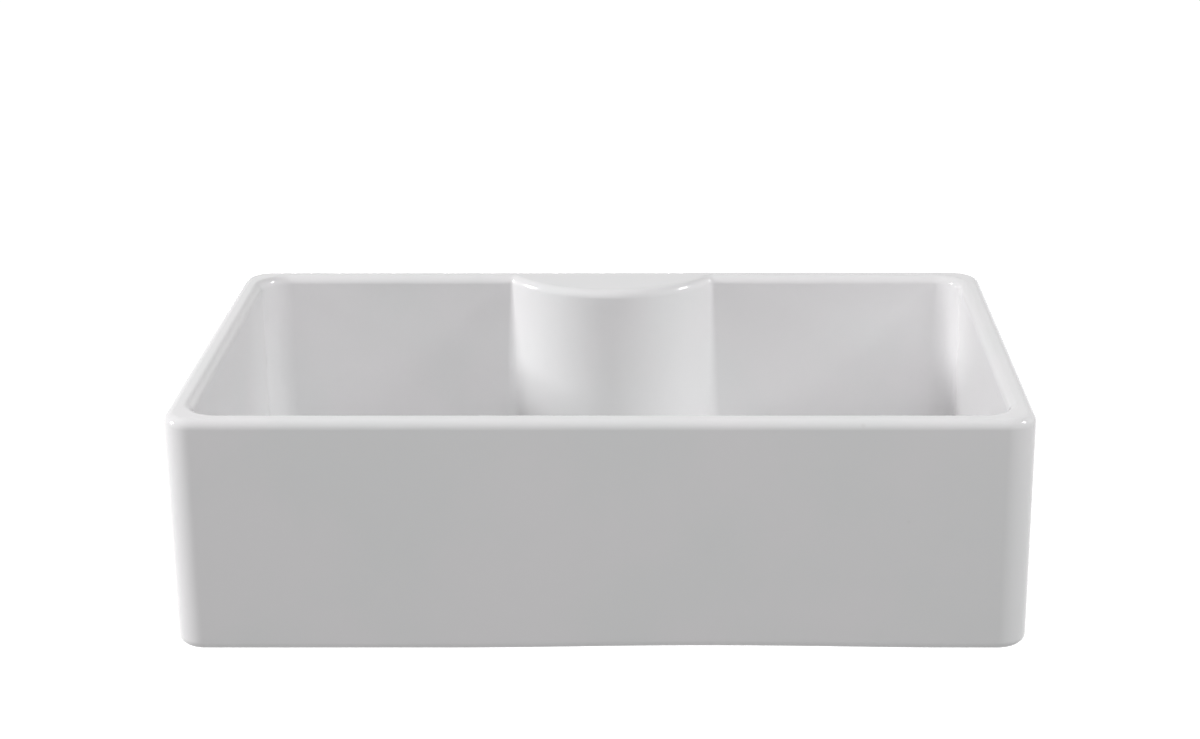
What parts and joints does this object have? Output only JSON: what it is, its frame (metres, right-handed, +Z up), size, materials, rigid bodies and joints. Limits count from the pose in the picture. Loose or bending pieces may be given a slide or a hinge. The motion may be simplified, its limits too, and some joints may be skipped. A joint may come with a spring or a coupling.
{
  "type": "farmhouse apron front sink",
  "caption": "White fireclay apron front sink with one deep bowl, a bowed tap ledge at the back, and a lift-out basket strainer with a push-down stopper in its drain.",
  "frame": {"origin": "on the drain's axis, in the plane of the basin's flat underside", "axes": "+X to the right of someone standing at the sink, +Y towards the wall, +Z up; the apron faces -Y"},
  "size_m": [0.76, 0.46, 0.274],
  "materials": {
    "glazed_fireclay": "glossy white glaze",
    "stainless": "satin",
    "polished_steel": "polished",
    "plated_brass": "plated",
    "black_rubber": "matte",
    "fibre": "matte pressed fibre",
    "sealant": "matte",
    "white_nylon": "matte"
  },
  "bodies": {
    "basin": {"sink_basin": "glazed_fireclay", "strainer_body": "stainless", "flange_seal": "sealant", "under_gasket": "black_rubber", "friction_ring": "fibre", "locknut": "plated_brass", "outlet_spigot": "plated_brass", "outlet_cross": "stainless", "coupling_washer": "white_nylon", "coupling_nut": "plated_brass"},
    "basket": {"basket": "stainless", "stem_guide": "stainless", "stem_seal_ring": "black_rubber"},
    "stopper": {"stopper_stem": "polished_steel", "stopper_plate": "stainless", "stopper_disc": "black_rubber", "stopper_washer": "stainless", "stopper_nut": "stainless", "stopper_knob": "polished_steel"}
  },
  "joints": [
    {"name": "basket_lift", "type": "slide", "parent": "basin", "child": "basket", "axis": [0, 0, 1], "range_m": [0, 0.28]},
    {"name": "stopper_pull", "type": "slide", "parent": "basket", "child": "stopper", "axis": [0, 0, 1], "range_m": [0, 0.008]}
  ]
}
